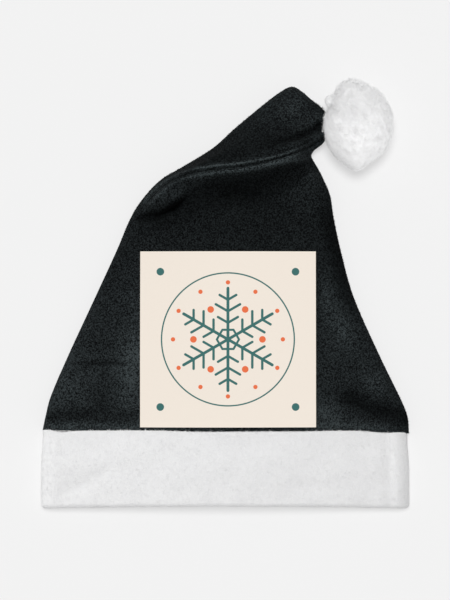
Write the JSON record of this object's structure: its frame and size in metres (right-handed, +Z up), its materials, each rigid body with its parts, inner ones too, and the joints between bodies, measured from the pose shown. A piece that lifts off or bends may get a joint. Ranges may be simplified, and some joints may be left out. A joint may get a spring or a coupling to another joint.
{
  "type": "santa hat",
  "caption": "Black fleece Santa hat laid flat, its tip folded over to a white pom-pom, with a white plush cuff round the open mouth and a square print on the front.",
  "frame": {"origin": "on the surface that the hat lies on, under the middle of its outline seen from above", "axes": "+X to the right of the shown side, +Y from the cuff's fold towards the tip, +Z up out of the shown side"},
  "size_m": [0.29, 0.3383, 0.0571],
  "materials": {
    "black_fleece": "brushed black fleece, matt with a short nap",
    "white_plush": "white short-pile plush",
    "white_pile": "fluffy white pile",
    "print_film": "thin matt cream transfer film with a teal and orange design"
  },
  "bodies": {
    "root": {"crown_front": "black_fleece", "crown_back": "black_fleece", "cuff": "white_plush", "pom_pom": "white_pile", "print_panel": "print_film"}
  },
  "joints": []
}
